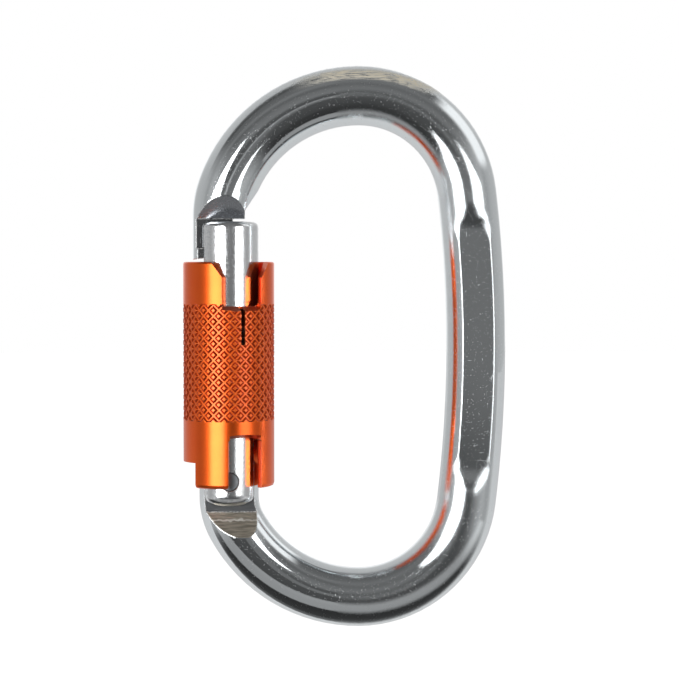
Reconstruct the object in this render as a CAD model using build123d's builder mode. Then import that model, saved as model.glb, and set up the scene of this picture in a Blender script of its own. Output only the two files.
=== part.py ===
from build123d import *
import os
from math import acos, asin, cos, degrees, radians, sin, sqrt, tan

os.makedirs("parts", exist_ok=True)

# A locking carabiner of oval shape with a turn-and-push locking sleeve, in millimetres.
# X runs from the gate to the spine, Y from front to back, and Z up along the length.
# The origin is the bearing point inside the top bow, midway through the bar.

# Frame
HEIGHT = 110.0  # over both bows
GATE_TO_SPINE = 48.6  # gate axis to the middle of the spine bar
BAR_D = 11.6  # bar that the frame is bent from
SPINE_R = 255.0  # slight outward bow of the spine
BOW_R = 21.4  # bends on the spine side
NOSE_OUT = 1.2  # the nose stands this far outboard of the gate axis
NOSE_SWELL = 0.65  # how far the top bow would pass the nose if it ran on
NOSE_TURN_R = 16.0  # bend from the top bow into the nose
HEEL_SWELL = 1.85  # the same for the bottom bow and the hinge end
HEEL_TURN_R = 12.0
FLAT_DEPTH = 0.87  # pressed flats on both faces of the spine
FLAT_HALF = 23.8  # half the length of a flat at full depth
FLAT_RUNOUT = 4.8
RUNOUT_SHARE = 0.3  # depth halfway along a run-out, as a share of the flat's
RUNOUT_PROUD = 0.04  # a run-out starts just over the bar's skin

# Nose
SHOULDER_DROP = 29.9  # top of the frame down to the shoulder over the gate
NOSE_FACET = 4.4  # height of the sloped facet over the shoulder
BLADE_HALF = 2.6  # half thickness of the blade
HEAD_HALF = 3.1  # half thickness of its head, which hooks into the gate
HEAD_H = 2.6
BLADE_INNER = 0.8  # inner edge of the blade, past the gate axis
NOSE_TRIM = 3.1  # inner face of the nose, past the gate axis
TRIM_FROM = 1.5  # shoulder up to the slope over that face
TRIM_SLOPE = 34.0  # in degrees
TRIM_RISE = 8.0
LEDGE = 0.4
NOSE_CLEAR = 0.12  # nose to the sleeve's rim as it swings past

# Hinge
HINGE_UP = 29.1  # bottom of the frame up to the hinge axis
TANG_HALF = 3.2  # half thickness of the tang
TANG_DROP = 6.1  # hinge axis down to the top of the tang's facets
HEEL_FACET = 4.9
HEEL_REACH = 5.0  # the facets run this far on into the bend
CAM_R = 5.0  # rounded end of the tang, which pushes the plunger
CAM_OUT = 1.6
RIVET_D = 3.7
RIVET_FIT = 0.04
RIVET_UNDER = 0.08  # heads dressed just under the round of the gate

# Gate
GATE_D = 11.7
GATE_GAP = 0.6  # gate top to the shoulder
GATE_BELOW = 5.0  # hinge axis down to the end of the gate
GATE_EDGE = 1.1
GATE_FOOT_ROUND = 2.2  # all round the lower end
HEEL_ROUND = 4.4
SLOT_FIT = 0.2  # beside the blade, its head and the tang
SLOT_PAST = 0.4  # behind the blade
SLOT_UNDER_RIM = 1.5  # sleeve's rim down to the floor of the upper slot
GATE_SLOT_UP = 8.0  # hinge axis up to the roof of the lower slot
BORE_D = 6.2  # bore for the plunger and its spring
BORE_UP = 24.0

# Plunger and gate spring
PLUNGER_FIT = 0.08
PLUNGER_TIP_R = 2.0
TIP_GAP = 0.1  # tip to the cam, and body to the roof of the slot
PLUNGER_BODY = 5.0
SPIGOT_D = 2.6
SPIGOT_H = 2.5
SPIGOT_EDGE = 0.4
GATE_WIRE = 0.7
GATE_COIL_D = 4.4  # middle of the wire
GATE_TURNS = 7.0
COIL_END_GAP = 0.05

# Locking sleeve
RUNNING_FIT = 0.08  # sleeve and bush on the gate
BUSH_WALL = 1.07  # so much wider is the sleeve's bore than its land
SLEEVE_WALL = 1.9
SLEEVE_TOP_GAP = 8.4  # sleeve's rim down from the shoulder
SKIRT_BELOW = 1.2  # hinge axis down to the skirt's edge
NOTCH_ANGLE = 17.8  # middle of the upper notch, from the front towards the spine
NOTCH_W = 8.1
NOTCH_FLARE = 1.9
NOTCH_FLARE_H = 3.0
NOTCH_DEPTH = 8.6
NOTCH_ROUND = 1.2
LAND_H = 3.6  # upper bearing land, just under the notch
SLIT_W = 1.0
SLIT_DEPTH = 16.0  # from the rim
FOOT_NOTCH_ANGLE = 21.5
FOOT_NOTCH_W = 7.0
FOOT_NOTCH_H = 9.5
FOOT_NOTCH_ROUND = 0.5
RELIEF_FROM = -48.0  # high part of the skirt, by angle
RELIEF_ARC = 160.0
RELIEF_H = 4.9
RIM_EDGE = 0.4
SKIRT_EDGE = 0.7
TWIST_ANGLE = 108.0

# Bush, its ring and washer, and the guide pin
BUSH_LOW = 10.8  # hinge axis up to the underside of the bush
BUSH_H = 7.0
BUSH_FIT = 0.02
RING_WIRE = 0.9
RING_FIT = 0.05
RING_GAP = 40.0  # opening of the snap ring in degrees
WASHER_T = 0.5
WASHER_FIT = 0.06
PIN_D = 2.0
PIN_UP = 3.5  # underside of the bush up to the pin
PIN_ANGLE = 180.0
PIN_DEPTH = 2.2  # pressed into the gate
PIN_FIT = 0.15  # in the bush's window and under the sleeve
PIN_PRESS = 0.01
PIN_EDGE = 0.2

# Sleeve spring
TWIST_WIRE = 0.8
TWIST_TURNS = 9.0
FOOT_ANGLE = 90.0  # where the coil starts and its foot goes into the gate
WALL_GAP = 0.1  # wire to whatever it passes
FOOT_DEPTH = 1.1  # foot into the gate
FOOT_BOTTOM_GAP = 0.3
LEG_SHORT = 0.5  # leg's end inside the sleeve's skin
LEG_THIN = 0.02  # ends drawn slightly thinner than the coil

PAST = 1.0  # cuts run this far past the faces that they open

# Places that follow from the sizes above
bar_r = BAR_D / 2
gate_r = GATE_D / 2
half = (HEIGHT - BAR_D) / 2
mid_z = bar_r - half
top_z = bar_r + bar_r
bottom_z = top_z - HEIGHT
spine_turn = asin((half - BOW_R) / (SPINE_R - BOW_R))
spine_x = SPINE_R - (SPINE_R - BOW_R) * cos(spine_turn)
gate_x = spine_x - GATE_TO_SPINE
nose_x = gate_x - NOSE_OUT
hinge_z = bottom_z + HINGE_UP
shoulder_z = top_z - SHOULDER_DROP
gate_top = shoulder_z - GATE_GAP
gate_bottom = hinge_z - GATE_BELOW
rim_z = shoulder_z - SLEEVE_TOP_GAP
skirt_z = hinge_z - SKIRT_BELOW
land_top = rim_z - NOTCH_DEPTH
land_bottom = land_top - LAND_H
bush_bottom = hinge_z + BUSH_LOW
bush_top = bush_bottom + BUSH_H
washer_top = bush_top + WASHER_T
running_r = gate_r + RUNNING_FIT
bore_r = running_r + BUSH_WALL
sleeve_r = bore_r + SLEEVE_WALL
# the nose ends on an arc round the hinge, clear of the sleeve's swinging rim
nose_swing_r = sqrt((rim_z - hinge_z) ** 2 + (sleeve_r - RIM_EDGE) ** 2) + NOSE_CLEAR

GATE_AXIS = Axis((gate_x, 0, 0), (0, 0, 1))


def front():
    """Middle plane seen from the front, X to the right and Z up."""
    return Plane(origin=(0, 0, 0), x_dir=(1, 0, 0), z_dir=(0, -1, 0))


def side(x):
    """Plane seen from the spine side, Y to the right and Z up."""
    return Plane(origin=(x, 0, 0), x_dir=(0, 1, 0), z_dir=(1, 0, 0))


def level(z):
    """Level plane on the gate's axis."""
    return Plane(origin=(gate_x, 0, z), x_dir=(1, 0, 0), z_dir=(0, 0, 1))


def facing(angle):
    """Upright plane on the gate's axis, facing out at an angle from the front."""
    out = (sin(radians(angle)), -cos(radians(angle)), 0)
    across = (cos(radians(angle)), sin(radians(angle)), 0)
    return Plane(origin=(gate_x, 0, 0), x_dir=across, z_dir=out)


def wedge(start, arc, reach):
    """Corners of a level wedge from the gate's axis, angles from the front."""
    corners = [(0, 0)]
    steps = 4
    for step in range(steps + 1):
        angle = radians(start + arc * step / steps)
        corners.append((reach * sin(angle), -reach * cos(angle)))
    return corners


def end_bend(end_x, swell, turn_r):
    """Radius of the bow, its share of the turn, and where the end goes upright."""
    big_r = swell - end_x
    gap = big_r - turn_r
    lean = acos((gap - swell) / gap)
    rise = half - big_r + gap * sin(lean)
    return big_r, lean, rise


nose_bow_r, nose_lean, nose_rise = end_bend(nose_x, NOSE_SWELL, NOSE_TURN_R)
heel_bow_r, heel_lean, heel_rise = end_bend(gate_x, HEEL_SWELL, HEEL_TURN_R)
nose_tip = hinge_z + nose_swing_r - bar_r
tang_tip = hinge_z + CAM_R + CAM_OUT

# ---------------------------------------------------------------- frame
with BuildPart() as frame:
    # the bar: nose, top bow, spine, bottom bow, hinge end
    with BuildLine(front()) as route:
        nose = Line((nose_x, nose_tip), (nose_x, mid_z + nose_rise))
        turn = JernArc(nose @ 1, (0, 1), NOSE_TURN_R, -degrees(nose_lean))
        bow = JernArc(turn @ 1, turn % 1, nose_bow_r, degrees(nose_lean) - 90)
        bend = JernArc(bow @ 1, bow % 1, BOW_R, degrees(spine_turn) - 90)
        spine = JernArc(bend @ 1, bend % 1, SPINE_R, -2 * degrees(spine_turn))
        bend = JernArc(spine @ 1, spine % 1, BOW_R, degrees(spine_turn) - 90)
        bow = JernArc(bend @ 1, bend % 1, heel_bow_r, degrees(heel_lean) - 90)
        turn = JernArc(bow @ 1, bow % 1, HEEL_TURN_R, -degrees(heel_lean))
        Line(turn @ 1, (gate_x, tang_tip))
    with BuildSketch(Plane(origin=(nose_x, 0, nose_tip), x_dir=(1, 0, 0), z_dir=(0, 0, 1))):
        Circle(bar_r)
    sweep(path=route.wires()[0])

    # nose: facets and cheeks that leave the blade and its head
    for y_dir in (-1, 1):
        outside = y_dir * (bar_r + PAST)
        slope = (bar_r - BLADE_HALF - LEDGE) / NOSE_FACET
        head_z = rim_z + HEAD_H
        with BuildSketch(side(nose_x - bar_r - PAST)):
            with BuildLine():
                Polyline(
                    (y_dir * HEAD_HALF, nose_tip - PAST),
                    (y_dir * HEAD_HALF, head_z),
                    (y_dir * BLADE_HALF, head_z),
                    (y_dir * BLADE_HALF, shoulder_z),
                    (y_dir * (BLADE_HALF + LEDGE), shoulder_z),
                    (outside, shoulder_z + NOSE_FACET + PAST / slope),
                    (outside, nose_tip - PAST),
                    close=True,
                )
            make_face()
        extrude(amount=BAR_D + 2 * PAST, mode=Mode.SUBTRACT)

    # nose: inner face trimmed, then the blade's inner edge
    trim_x = gate_x + NOSE_TRIM
    trim_low = shoulder_z + TRIM_FROM
    trim_high = trim_low + TRIM_RISE
    with BuildSketch(front()):
        with BuildLine():
            Polyline(
                (trim_x, nose_tip - PAST),
                (trim_x, trim_low),
                (trim_x + TRIM_RISE * tan(radians(TRIM_SLOPE)), trim_high),
                (trim_x + BAR_D, trim_high),
                (trim_x + BAR_D, nose_tip - PAST),
                close=True,
            )
        make_face()
    extrude(amount=bar_r + PAST, both=True, mode=Mode.SUBTRACT)
    with BuildSketch(front()):
        with BuildLine():
            Polyline(
                (gate_x + BLADE_INNER, nose_tip - PAST),
                (gate_x + BLADE_INNER, shoulder_z),
                (trim_x + PAST, shoulder_z),
                (trim_x + PAST, nose_tip - PAST),
                close=True,
            )
        make_face()
    extrude(amount=bar_r + PAST, both=True, mode=Mode.SUBTRACT)

    # nose: its end follows the swing of the sleeve
    with BuildSketch(front()):
        with Locations((gate_x, hinge_z)):
            Circle(nose_swing_r)
        with Locations((gate_x, nose_tip)):
            Rectangle(2 * sleeve_r, 2 * BAR_D, mode=Mode.INTERSECT)
    extrude(amount=bar_r + PAST, both=True, mode=Mode.SUBTRACT)

    # hinge end: facets and cheeks that leave the tang
    for y_dir in (-1, 1):
        outside = y_dir * (bar_r + PAST)
        start = TANG_HALF + LEDGE / 2
        slope = (bar_r - start) / HEEL_FACET
        with BuildSketch(side(gate_x - bar_r - PAST)):
            with BuildLine():
                Polyline(
                    (y_dir * TANG_HALF, tang_tip + PAST),
                    (y_dir * TANG_HALF, hinge_z - TANG_DROP),
                    (y_dir * start, hinge_z - TANG_DROP),
                    (outside, hinge_z - TANG_DROP - HEEL_FACET - PAST / slope),
                    (outside, tang_tip + PAST),
                    close=True,
                )
            make_face()
        extrude(amount=BAR_D + HEEL_REACH, mode=Mode.SUBTRACT)

    # hinge end: rounded top that works the plunger, and the rivet's hole
    with BuildSketch(front()):
        with Locations((gate_x, hinge_z + BAR_D / 2)):
            Rectangle(BAR_D + 2 * PAST, BAR_D)
        with Locations((gate_x + CAM_OUT, hinge_z)):
            Circle(CAM_R, mode=Mode.SUBTRACT)
    extrude(amount=bar_r + PAST, both=True, mode=Mode.SUBTRACT)
    with BuildSketch(front()):
        with Locations((gate_x, hinge_z)):
            Circle(RIVET_D / 2 + RIVET_FIT)
    extrude(amount=bar_r + PAST, both=True, mode=Mode.SUBTRACT)

    # spine: a long flat on each face, with pointed run-outs
    for y_dir in (-1, 1):
        skin = y_dir * (bar_r + RUNOUT_PROUD)
        deep = y_dir * (bar_r - FLAT_DEPTH)
        shallow = y_dir * (bar_r - RUNOUT_SHARE * FLAT_DEPTH)
        full = FLAT_HALF
        end = FLAT_HALF + FLAT_RUNOUT
        middle = FLAT_HALF + FLAT_RUNOUT / 2
        with BuildSketch(side(spine_x - BAR_D)):
            with BuildLine():
                Line((deep, mid_z - full), (deep, mid_z + full))
                ThreePointArc((deep, mid_z + full), (shallow, mid_z + middle), (skin, mid_z + end))
                Polyline(
                    (skin, mid_z + end),
                    (skin + y_dir * PAST, mid_z + end),
                    (skin + y_dir * PAST, mid_z - end),
                    (skin, mid_z - end),
                )
                ThreePointArc((skin, mid_z - end), (shallow, mid_z - middle), (deep, mid_z - full))
            make_face()
        extrude(amount=2 * BAR_D, mode=Mode.SUBTRACT)

frame.part.label = "frame"
export_step(frame.part, "parts/frame.step")

# ---------------------------------------------------------------- gate
with BuildPart() as gate:
    with BuildSketch(level(gate_bottom)):
        Circle(gate_r)
    extrude(amount=gate_top - gate_bottom)
    ends = gate.edges().filter_by(GeomType.CIRCLE).group_by(Axis.Z)
    fillet(ends[-1], GATE_EDGE)
    fillet(ends[0], GATE_FOOT_ROUND)

    # lower end rounded so that it clears the frame as it swings
    with BuildSketch(front()) as heel:
        with Locations((gate_x, (gate_top + gate_bottom) / 2)):
            Rectangle(GATE_D, gate_top - gate_bottom)
        fillet(heel.vertices().group_by(Axis.Y)[0], HEEL_ROUND)
    extrude(amount=gate_r + PAST, both=True, mode=Mode.INTERSECT)

    # upper slot: narrow at the blade, wider round its head, open to the outside
    blade_slot = BLADE_HALF + SLOT_FIT
    head_slot = HEAD_HALF + SLOT_FIT
    hook_z = rim_z + HEAD_H + SLOT_FIT
    slot_floor = rim_z - SLOT_UNDER_RIM
    back_x = gate_x + BLADE_INNER + SLOT_PAST
    slot_run = back_x - (gate_x - gate_r - PAST)
    with BuildSketch(side(back_x - slot_run)):
        with Locations((0, (gate_top + slot_floor) / 2 + PAST)):
            Rectangle(2 * blade_slot, gate_top - slot_floor + 2 * PAST)
        with Locations((0, (hook_z + slot_floor) / 2)):
            Rectangle(2 * head_slot, hook_z - slot_floor)
    extrude(amount=slot_run, mode=Mode.SUBTRACT)

    # lower slot over the tang, and the bore above it
    slot_top = hinge_z + GATE_SLOT_UP
    with BuildSketch(side(gate_x - gate_r - PAST)):
        with Locations((0, (slot_top + gate_bottom) / 2 - PAST)):
            Rectangle(2 * (TANG_HALF + SLOT_FIT), slot_top - gate_bottom + 2 * PAST)
    extrude(amount=GATE_D + 2 * PAST, mode=Mode.SUBTRACT)
    with BuildSketch(level(slot_top - PAST)):
        Circle(BORE_D / 2)
    extrude(amount=BORE_UP - GATE_SLOT_UP + PAST, mode=Mode.SUBTRACT)

    # holes for the rivet, the guide pin and the foot of the sleeve spring
    with BuildSketch(front()):
        with Locations((gate_x, hinge_z)):
            Circle(RIVET_D / 2 + RIVET_FIT / 2)
    extrude(amount=gate_r + PAST, both=True, mode=Mode.SUBTRACT)
    pin_z = bush_bottom + PIN_UP
    with BuildSketch(facing(PIN_ANGLE).offset(gate_r - PIN_DEPTH)):
        with Locations((0, pin_z)):
            Circle(PIN_D / 2 + PIN_PRESS)
    extrude(amount=PIN_DEPTH + PAST, mode=Mode.SUBTRACT)
    foot_z = washer_top + TWIST_WIRE / 2 + WALL_GAP
    with BuildSketch(facing(FOOT_ANGLE).offset(gate_r - FOOT_DEPTH - FOOT_BOTTOM_GAP)):
        with Locations((0, foot_z)):
            Circle(TWIST_WIRE / 2 + WALL_GAP)
    extrude(amount=FOOT_DEPTH + FOOT_BOTTOM_GAP + PAST, mode=Mode.SUBTRACT)

gate.part.label = "gate"
export_step(gate.part, "parts/gate.step")

# ---------------------------------------------------------------- hinge rivet
with BuildPart() as hinge_rivet:
    with BuildSketch(front()):
        with Locations((gate_x, hinge_z)):
            Circle(RIVET_D / 2)
    extrude(amount=gate_r, both=True)
    with BuildSketch(level(hinge_z - RIVET_D)):
        Circle(gate_r - RIVET_UNDER)
    extrude(amount=2 * RIVET_D, mode=Mode.INTERSECT)

hinge_rivet.part.label = "hinge_rivet"
export_step(hinge_rivet.part, "parts/hinge_rivet.step")

# ---------------------------------------------------------------- plunger
tip_centre = hinge_z + sqrt((CAM_R + PLUNGER_TIP_R + TIP_GAP) ** 2 - CAM_OUT**2)
plunger_r = BORE_D / 2 - PLUNGER_FIT
body_low = max(tip_centre, slot_top + TIP_GAP)
body_top = body_low + PLUNGER_BODY
with BuildPart() as gate_plunger:
    with BuildSketch(level(body_low)):
        Circle(plunger_r)
    extrude(amount=PLUNGER_BODY)
    with BuildSketch(level(tip_centre)):
        Circle(PLUNGER_TIP_R)
    extrude(amount=body_low - tip_centre + PAST)
    with Locations((gate_x, 0, tip_centre)):
        Sphere(PLUNGER_TIP_R)
    with BuildSketch(level(body_top)):
        Circle(SPIGOT_D / 2)
    extrude(amount=SPIGOT_H)
    chamfer(gate_plunger.edges().filter_by(GeomType.CIRCLE).group_by(Axis.Z)[-1], SPIGOT_EDGE)

gate_plunger.part.label = "gate_plunger"
export_step(gate_plunger.part, "parts/gate_plunger.step")

# ---------------------------------------------------------------- gate spring
spring_low = body_top + GATE_WIRE / 2 + COIL_END_GAP
spring_top = hinge_z + BORE_UP - GATE_WIRE / 2 - COIL_END_GAP
coil_r = GATE_COIL_D / 2
with BuildPart() as gate_spring:
    with BuildLine(level(spring_low)) as coil:
        Helix((spring_top - spring_low) / GATE_TURNS, spring_top - spring_low, coil_r)
    with BuildSketch(Plane(origin=coil.line @ 0, z_dir=coil.line % 0)):
        Circle(GATE_WIRE / 2)
    sweep(path=coil.line, is_frenet=True)

gate_spring.part.label = "gate_spring"
export_step(gate_spring.part, "parts/gate_spring.step")

# ---------------------------------------------------------------- locking sleeve
with BuildPart() as locking_sleeve:
    with BuildSketch(level(skirt_z)):
        Circle(sleeve_r)
    extrude(amount=rim_z - skirt_z)
    outer = locking_sleeve.edges().filter_by(GeomType.CIRCLE).group_by(Axis.Z)
    chamfer(outer[-1], RIM_EDGE)
    chamfer(outer[0], SKIRT_EDGE)
    with BuildSketch(level(skirt_z - PAST)):
        Circle(running_r)
    extrude(amount=rim_z - skirt_z + 2 * PAST, mode=Mode.SUBTRACT)
    with BuildSketch(level(land_top)):
        Circle(bore_r)
    extrude(amount=NOTCH_DEPTH + PAST, mode=Mode.SUBTRACT)
    with BuildSketch(level(skirt_z - PAST)):
        Circle(bore_r)
    extrude(amount=land_bottom - skirt_z + PAST, mode=Mode.SUBTRACT)

    # groove for the snap ring under the bush
    with BuildSketch(level(bush_bottom - RING_WIRE - 2 * RING_FIT)):
        Circle(bore_r + RING_WIRE / 2)
    extrude(amount=RING_WIRE + 2 * RING_FIT, mode=Mode.SUBTRACT)

    # upper notch with flared mouth
    with BuildSketch(facing(NOTCH_ANGLE)) as notch:
        with BuildLine():
            Polyline(
                (-NOTCH_W / 2, land_top),
                (-NOTCH_W / 2, rim_z - NOTCH_FLARE_H),
                (-NOTCH_W / 2 - NOTCH_FLARE, rim_z),
                (-NOTCH_W / 2 - NOTCH_FLARE, rim_z + PAST),
                (NOTCH_W / 2 + NOTCH_FLARE, rim_z + PAST),
                (NOTCH_W / 2 + NOTCH_FLARE, rim_z),
                (NOTCH_W / 2, rim_z - NOTCH_FLARE_H),
                (NOTCH_W / 2, land_top),
                close=True,
            )
        make_face()
        corners = notch.vertices().group_by(Axis.Y)
        fillet(corners[1] + corners[2], NOTCH_ROUND)
    extrude(amount=sleeve_r + PAST, mode=Mode.SUBTRACT)

    # slit for the leg of the sleeve spring
    with BuildSketch(facing(NOTCH_ANGLE)):
        with Locations((0, rim_z - SLIT_DEPTH / 2)):
            Rectangle(SLIT_W, SLIT_DEPTH)
    extrude(amount=sleeve_r + PAST, mode=Mode.SUBTRACT)

    # lower notch, and the high part of the skirt
    with BuildSketch(facing(FOOT_NOTCH_ANGLE)) as foot:
        with Locations((0, skirt_z + FOOT_NOTCH_H / 2 - PAST)):
            Rectangle(FOOT_NOTCH_W, FOOT_NOTCH_H + 2 * PAST)
        fillet(foot.vertices().group_by(Axis.Y)[-1], FOOT_NOTCH_ROUND)
    extrude(amount=sleeve_r + PAST, mode=Mode.SUBTRACT)
    with BuildSketch(level(skirt_z - PAST)):
        Circle(sleeve_r + PAST)
        Polygon(*wedge(RELIEF_FROM, -RELIEF_ARC, 2 * sleeve_r), align=None, mode=Mode.INTERSECT)
    extrude(amount=RELIEF_H + PAST, mode=Mode.SUBTRACT)

locking_sleeve.part.label = "locking_sleeve"
export_step(locking_sleeve.part, "parts/locking_sleeve.step")

# ---------------------------------------------------------------- sleeve bush
with BuildPart() as sleeve_bush:
    with BuildSketch(level(bush_bottom)):
        Circle(bore_r - BUSH_FIT)
        Circle(running_r, mode=Mode.SUBTRACT)
    extrude(amount=BUSH_H)
    # window for the guide pin, as long as the turn of the sleeve
    window_end = degrees((PIN_D / 2 + PIN_FIT) / gate_r)
    window_h = PIN_D + 2 * PIN_FIT
    with BuildSketch(level(pin_z - window_h / 2)):
        Circle(bore_r + PAST)
        Polygon(
            *wedge(PIN_ANGLE - window_end, TWIST_ANGLE + 2 * window_end, 2 * bore_r),
            align=None,
            mode=Mode.INTERSECT,
        )
    extrude(amount=window_h, mode=Mode.SUBTRACT)

sleeve_bush.part.label = "sleeve_bush"
export_step(sleeve_bush.part, "parts/sleeve_bush.step")

# ---------------------------------------------------------------- bush ring
with BuildPart() as bush_ring:
    with BuildSketch(level(bush_bottom - RING_WIRE - RING_FIT)):
        Circle(bore_r + RING_WIRE / 2 - RING_FIT)
        Circle(bore_r - RING_WIRE / 2, mode=Mode.SUBTRACT)
        Polygon(*wedge(-90 - RING_GAP / 2, RING_GAP, 2 * bore_r), align=None, mode=Mode.SUBTRACT)
    extrude(amount=RING_WIRE)

bush_ring.part.label = "bush_ring"
export_step(bush_ring.part, "parts/bush_ring.step")

# ---------------------------------------------------------------- spring washer
with BuildPart() as spring_washer:
    with BuildSketch(level(bush_top)):
        Circle(bore_r - WASHER_FIT)
        Circle(running_r + WASHER_FIT, mode=Mode.SUBTRACT)
    extrude(amount=WASHER_T)

spring_washer.part.label = "spring_washer"
export_step(spring_washer.part, "parts/spring_washer.step")

# ---------------------------------------------------------------- guide pin
with BuildPart() as guide_pin:
    with BuildSketch(facing(PIN_ANGLE).offset(gate_r - PIN_DEPTH)):
        with Locations((0, pin_z)):
            Circle(PIN_D / 2)
    extrude(amount=PIN_DEPTH + bore_r - gate_r - PIN_FIT)
    chamfer(guide_pin.edges().filter_by(GeomType.CIRCLE).group_by(Axis.Y)[-1], PIN_EDGE)

guide_pin.part.label = "guide_pin"
export_step(guide_pin.part, "parts/guide_pin.step")

# ---------------------------------------------------------------- sleeve spring
twist_r = (gate_r + bore_r) / 2
twist_low = foot_z
twist_high = land_bottom - TWIST_WIRE / 2 - WALL_GAP
twist_rise = twist_high - twist_low
# the coil starts at the foot, on the spine's side, and ends at the slit
part_turn = (NOTCH_ANGLE - FOOT_ANGLE) / 360
with BuildPart() as sleeve_spring:
    with BuildLine(level(twist_low)) as coil:
        Helix(twist_rise / (TWIST_TURNS + part_turn), twist_rise, twist_r)
    with BuildSketch(Plane(origin=coil.line @ 0, z_dir=coil.line % 0)):
        Circle(TWIST_WIRE / 2)
    sweep(path=coil.line, is_frenet=True)
    # foot bent into the gate, and leg bent out into the slit
    leg_r = TWIST_WIRE / 2 - LEG_THIN
    bend = leg_r - LEG_THIN / 2
    with BuildSketch(facing(FOOT_ANGLE).offset(gate_r - FOOT_DEPTH)):
        with Locations((0, twist_low)):
            Circle(leg_r)
    extrude(amount=twist_r - gate_r + FOOT_DEPTH + bend)
    with BuildSketch(facing(NOTCH_ANGLE).offset(twist_r - bend)):
        with Locations((0, twist_high)):
            Circle(leg_r)
    extrude(amount=sleeve_r - twist_r + bend - LEG_SHORT)

sleeve_spring.part.label = "sleeve_spring"
export_step(sleeve_spring.part, "parts/sleeve_spring.step")
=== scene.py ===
import math

import bmesh
import bpy
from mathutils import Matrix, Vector


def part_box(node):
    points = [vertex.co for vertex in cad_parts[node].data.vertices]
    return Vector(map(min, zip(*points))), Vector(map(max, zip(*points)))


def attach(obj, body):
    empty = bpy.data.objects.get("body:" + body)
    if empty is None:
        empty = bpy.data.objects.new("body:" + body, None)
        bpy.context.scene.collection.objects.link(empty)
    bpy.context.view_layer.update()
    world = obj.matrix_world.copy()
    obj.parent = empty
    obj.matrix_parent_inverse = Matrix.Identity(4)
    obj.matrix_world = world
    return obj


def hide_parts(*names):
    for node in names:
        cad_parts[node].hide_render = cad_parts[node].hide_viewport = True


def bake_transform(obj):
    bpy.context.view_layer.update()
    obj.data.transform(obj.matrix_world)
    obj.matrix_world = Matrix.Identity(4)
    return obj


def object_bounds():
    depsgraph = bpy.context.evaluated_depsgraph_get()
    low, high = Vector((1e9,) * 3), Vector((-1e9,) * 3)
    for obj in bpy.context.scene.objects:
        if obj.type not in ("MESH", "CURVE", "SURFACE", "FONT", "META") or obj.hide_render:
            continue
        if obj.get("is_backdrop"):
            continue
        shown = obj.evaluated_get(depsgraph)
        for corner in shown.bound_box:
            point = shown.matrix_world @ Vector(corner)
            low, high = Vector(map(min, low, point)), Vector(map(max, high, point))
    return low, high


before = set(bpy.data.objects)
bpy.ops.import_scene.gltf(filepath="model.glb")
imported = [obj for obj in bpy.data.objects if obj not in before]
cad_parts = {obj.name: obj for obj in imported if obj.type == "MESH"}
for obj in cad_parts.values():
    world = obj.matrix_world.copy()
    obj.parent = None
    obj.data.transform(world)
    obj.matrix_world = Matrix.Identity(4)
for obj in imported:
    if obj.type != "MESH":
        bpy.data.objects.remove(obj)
cad_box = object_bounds()

# ---- Camera.
# It stands square in front of the carabiner, a little to the gate's side and a little raised,
# with a long lens so that the bar keeps its width from top to bottom.
frame_low, frame_high = (Vector(corner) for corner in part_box("frame"))
loop_middle = Vector(((frame_low.x + frame_high.x) / 2, 0, (frame_low.z + frame_high.z) / 2))
look_at = loop_middle + Vector((-0.0020, 0, 0.0001))
CAMERA_DISTANCE = 0.450
CAMERA_TURN = math.radians(-3.7)
CAMERA_LIFT = math.radians(2.0)
PICTURE_H = 0.136  # height of what the picture takes in, at the carabiner

camera = bpy.data.objects.new("camera", bpy.data.cameras.new("camera"))
bpy.context.scene.collection.objects.link(camera)
toward_camera = Vector(
    (
        math.sin(CAMERA_TURN) * math.cos(CAMERA_LIFT),
        -math.cos(CAMERA_TURN) * math.cos(CAMERA_LIFT),
        math.sin(CAMERA_LIFT),
    )
)
camera.location = look_at + toward_camera * CAMERA_DISTANCE
camera.rotation_euler = (-toward_camera).to_track_quat("-Z", "Y").to_euler()
camera.data.sensor_fit = "VERTICAL"
camera.data.sensor_height = 24
camera.data.lens = camera.data.sensor_height * CAMERA_DISTANCE / PICTURE_H
camera.data.clip_start = 0.01
bpy.context.scene.camera = camera
bpy.context.scene.view_settings.view_transform = "Standard"


# ---- Studio.
# Two tall soft boxes stand left and right of the camera and a card lies low in front, in a dim
# room with a pale backdrop, because polished metal shows its shape by what it mirrors.
def add(tree, kind, inputs=(), **settings):
    """Adds one node; inputs are (name or place, value or socket)."""
    node = tree.nodes.new(kind)
    for name, value in settings.items():
        setattr(node, name, value)
    for place, value in inputs:
        if isinstance(value, bpy.types.NodeSocket):
            tree.links.new(value, node.inputs[place])
        else:
            node.inputs[place].default_value = value
    return node


def calc(tree, operation, *values, clamp=False):
    """One Math node on sockets and numbers."""
    pairs = list(enumerate(values))
    return add(tree, "ShaderNodeMath", pairs, operation=operation, use_clamp=clamp).outputs[0]


def ramp(tree, value, stops):
    """A smooth ramp through (place, grey) stops."""
    node = add(tree, "ShaderNodeValToRGB", [(0, value)])
    node.color_ramp.interpolation = "EASE"
    elements = node.color_ramp.elements
    while len(elements) < len(stops):
        elements.new(0.5)
    for element, (place, grey) in zip(elements, stops):
        element.position = place
        element.color = (grey, grey, grey, 1)
    return node.outputs[0]


def step(tree, value, low, high):
    """Rises smoothly from 0 at low to 1 at high, or falls where high is under low."""
    node = add(tree, "ShaderNodeMapRange", [("Value", value)], interpolation_type="SMOOTHSTEP")
    if low < high:
        edges = (low, high, 0.0, 1.0)
    else:
        edges = (high, low, 1.0, 0.0)
    for place, number in zip(("From Min", "From Max", "To Min", "To Max"), edges):
        node.inputs[place].default_value = number
    return node.outputs[0]


def parts(tree, vector):
    """X, Y and Z of a vector."""
    return add(tree, "ShaderNodeSeparateXYZ", [(0, vector)]).outputs


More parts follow.
